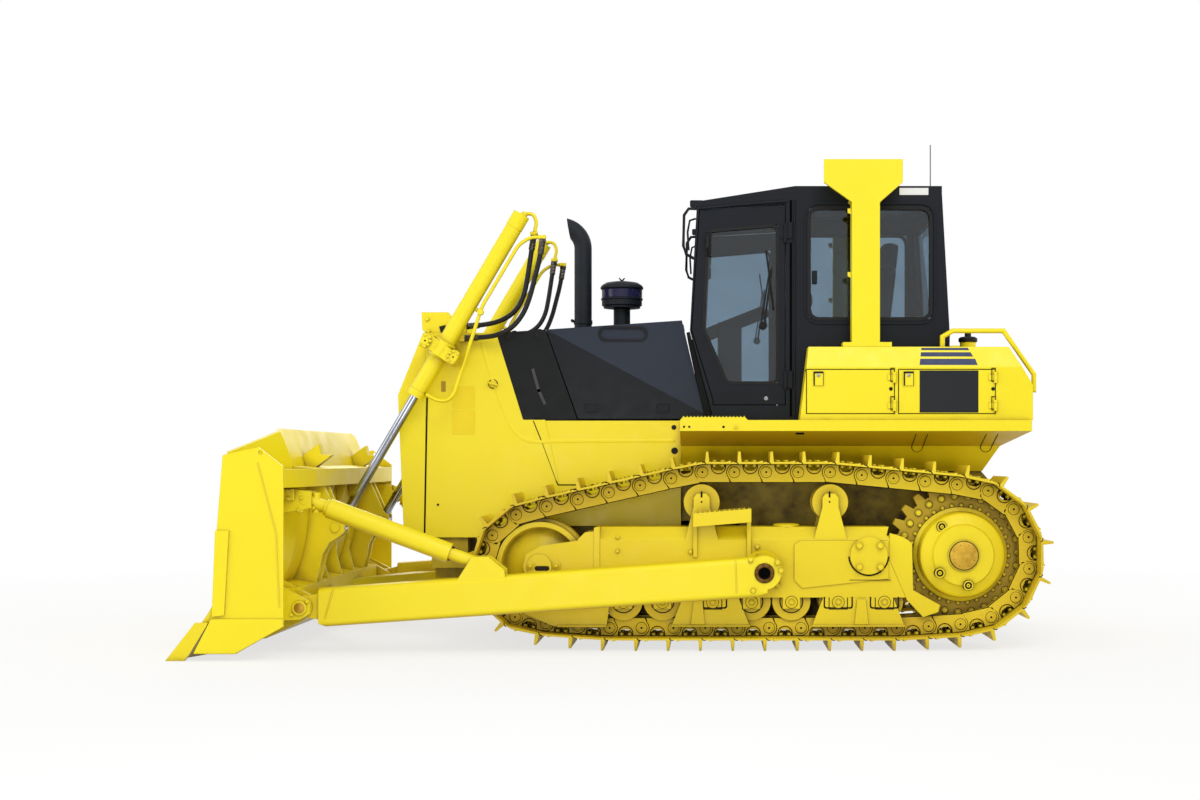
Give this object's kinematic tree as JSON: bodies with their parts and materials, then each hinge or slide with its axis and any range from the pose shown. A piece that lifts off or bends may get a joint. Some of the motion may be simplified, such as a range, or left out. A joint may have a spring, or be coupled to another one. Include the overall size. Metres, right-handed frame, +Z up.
{
  "type": "crawler bulldozer with a semi-U blade",
  "caption": "Tracked bulldozer with a semi-U blade on straight push arms, lift cylinders at the hood's front, a closed cab and a rollover bar.",
  "frame": {"origin": "bottom centre of the whole machine: on the ground, half way from the back of the tracks to the blade's end bits, on the mid plane", "axes": "+X forward towards the blade, +Y to the machine's left, +Z up"},
  "size_m": [5.3942, 3.46, 3.336],
  "materials": {
    "yellow_paint": "satin",
    "track_paint": "worn satin",
    "dark_paint": "satin",
    "hose_rubber": "braided cover",
    "antenna_plastic": "satin",
    "wear_steel": "satin",
    "chrome_rod": "polished",
    "window_glass": "clear",
    "lamp_glass": "clear",
    "engine_iron": "rough",
    "seat_cloth": "woven",
    "cab_plastic": "matt"
  },
  "bodies": {
    "machine": {"front_mask": "yellow_paint", "handrails": "yellow_paint", "radiator_guard": "yellow_paint", "platform": "yellow_paint", "rollover_bar": "yellow_paint", "lift_yokes": "yellow_paint", "headlamps": "yellow_paint", "rear_case": "yellow_paint", "main_frame": "yellow_paint", "locker_box": "yellow_paint", "hydraulic_tank": "yellow_paint", "fuel_tank": "yellow_paint", "side_panels": "yellow_paint", "track_left": "track_paint", "track_right": "track_paint", "rollers": "track_paint", "idlers": "track_paint", "track_frames": "track_paint", "track_guards": "track_paint", "sprockets": "track_paint", "final_drives": "track_paint", "hood_cowl": "dark_paint", "exhaust": "dark_paint", "air_cleaner": "dark_paint", "cab_shell": "dark_paint", "cab_roof": "dark_paint", "lift_hoses": "hose_rubber", "antenna": "antenna_plastic", "cab_glass": "window_glass", "lamp_lenses": "lamp_glass", "engine_and_radiator": "engine_iron", "seat": "seat_cloth", "console": "cab_plastic"},
    "blade": {"push_arms": "yellow_paint", "blade_mould": "yellow_paint", "blade_frame": "yellow_paint", "cutting_edge": "wear_steel", "tilt_struts": "yellow_paint"},
    "lift_barrel_left": {"lift_barrel_left": "yellow_paint"},
    "lift_barrel_right": {"lift_barrel_right": "yellow_paint"},
    "lift_rod_left": {"lift_rod_left": "chrome_rod"},
    "lift_rod_right": {"lift_rod_right": "chrome_rod"},
    "engine_cover_left": {"engine_cover_left": "dark_paint"},
    "engine_cover_right": {"engine_cover_right": "dark_paint"},
    "cab_door_left": {"door_left": "dark_paint", "door_glass_left": "window_glass"},
    "cab_door_right": {"door_right": "dark_paint", "door_glass_right": "window_glass"},
    "locker_door_rear": {"locker_door_rear": "yellow_paint"},
    "locker_door_front": {"locker_door_front": "yellow_paint"}
  },
  "joints": [
    {"name": "blade_lift", "type": "hinge", "parent": "machine", "child": "blade", "pos_m": [-0.87885, 0, 0.502], "axis": [0, -1, 0], "range_deg": [-7.1, 17.6]},
    {"name": "lift_barrel_left_swing", "type": "hinge", "parent": "machine", "child": "lift_barrel_left", "pos_m": [1.20515, 0.75, 1.914], "axis": [0, -1, 0], "range_deg": [-7.8, 19.2], "deforming": ["lift_hoses"]},
    {"name": "lift_rod_left_slide", "type": "slide", "parent": "lift_barrel_left", "child": "lift_rod_left", "axis": [0.5068, 0, -0.8621], "range_m": [-0.775, 0.315]},
    {"name": "lift_barrel_right_swing", "type": "hinge", "parent": "machine", "child": "lift_barrel_right", "pos_m": [1.20515, -0.75, 1.914], "axis": [0, -1, 0], "range_deg": [-7.8, 19.2], "deforming": ["lift_hoses"]},
    {"name": "lift_rod_right_slide", "type": "slide", "parent": "lift_barrel_right", "child": "lift_rod_right", "axis": [0.5068, 0, -0.8621], "range_m": [-0.775, 0.315]},
    {"name": "engine_cover_left_hinge", "type": "hinge", "parent": "machine", "child": "engine_cover_left", "pos_m": [-0.36406, 0.263, 2.13197], "axis": [0.9978, 0, -0.0662], "range_deg": [0, 55]},
    {"name": "engine_cover_right_hinge", "type": "hinge", "parent": "machine", "child": "engine_cover_right", "pos_m": [-0.36406, -0.263, 2.13197], "axis": [-0.9978, 0, 0.0662], "range_deg": [0, 55]},
    {"name": "cab_door_left_hinge", "type": "hinge", "parent": "machine", "child": "cab_door_left", "pos_m": [-1.03885, 0.712, 2.2], "axis": [0, 0, 1], "range_deg": [0, 95]},
    {"name": "cab_door_right_hinge", "type": "hinge", "parent": "machine", "child": "cab_door_right", "pos_m": [-1.03885, -0.712, 2.2], "axis": [0, 0, -1], "range_deg": [0, 95]},
    {"name": "locker_door_rear_hinge", "type": "hinge", "parent": "machine", "child": "locker_door_rear", "pos_m": [-2.37385, 0.962, 1.635], "axis": [0, 0, 1], "range_deg": [0, 95]},
    {"name": "locker_door_front_hinge", "type": "hinge", "parent": "machine", "child": "locker_door_front", "pos_m": [-1.72685, 0.962, 1.635], "axis": [0, 0, 1], "range_deg": [0, 95]}
  ],
  "couplings": [
    {"joint": "lift_barrel_left_swing", "follows": "blade_lift", "ratio": 1.08},
    {"joint": "lift_rod_left_slide", "follows": "blade_lift", "m_per_rad": -2.49},
    {"joint": "lift_barrel_right_swing", "follows": "blade_lift", "ratio": 1.08},
    {"joint": "lift_rod_right_slide", "follows": "blade_lift", "m_per_rad": -2.49}
  ]
}
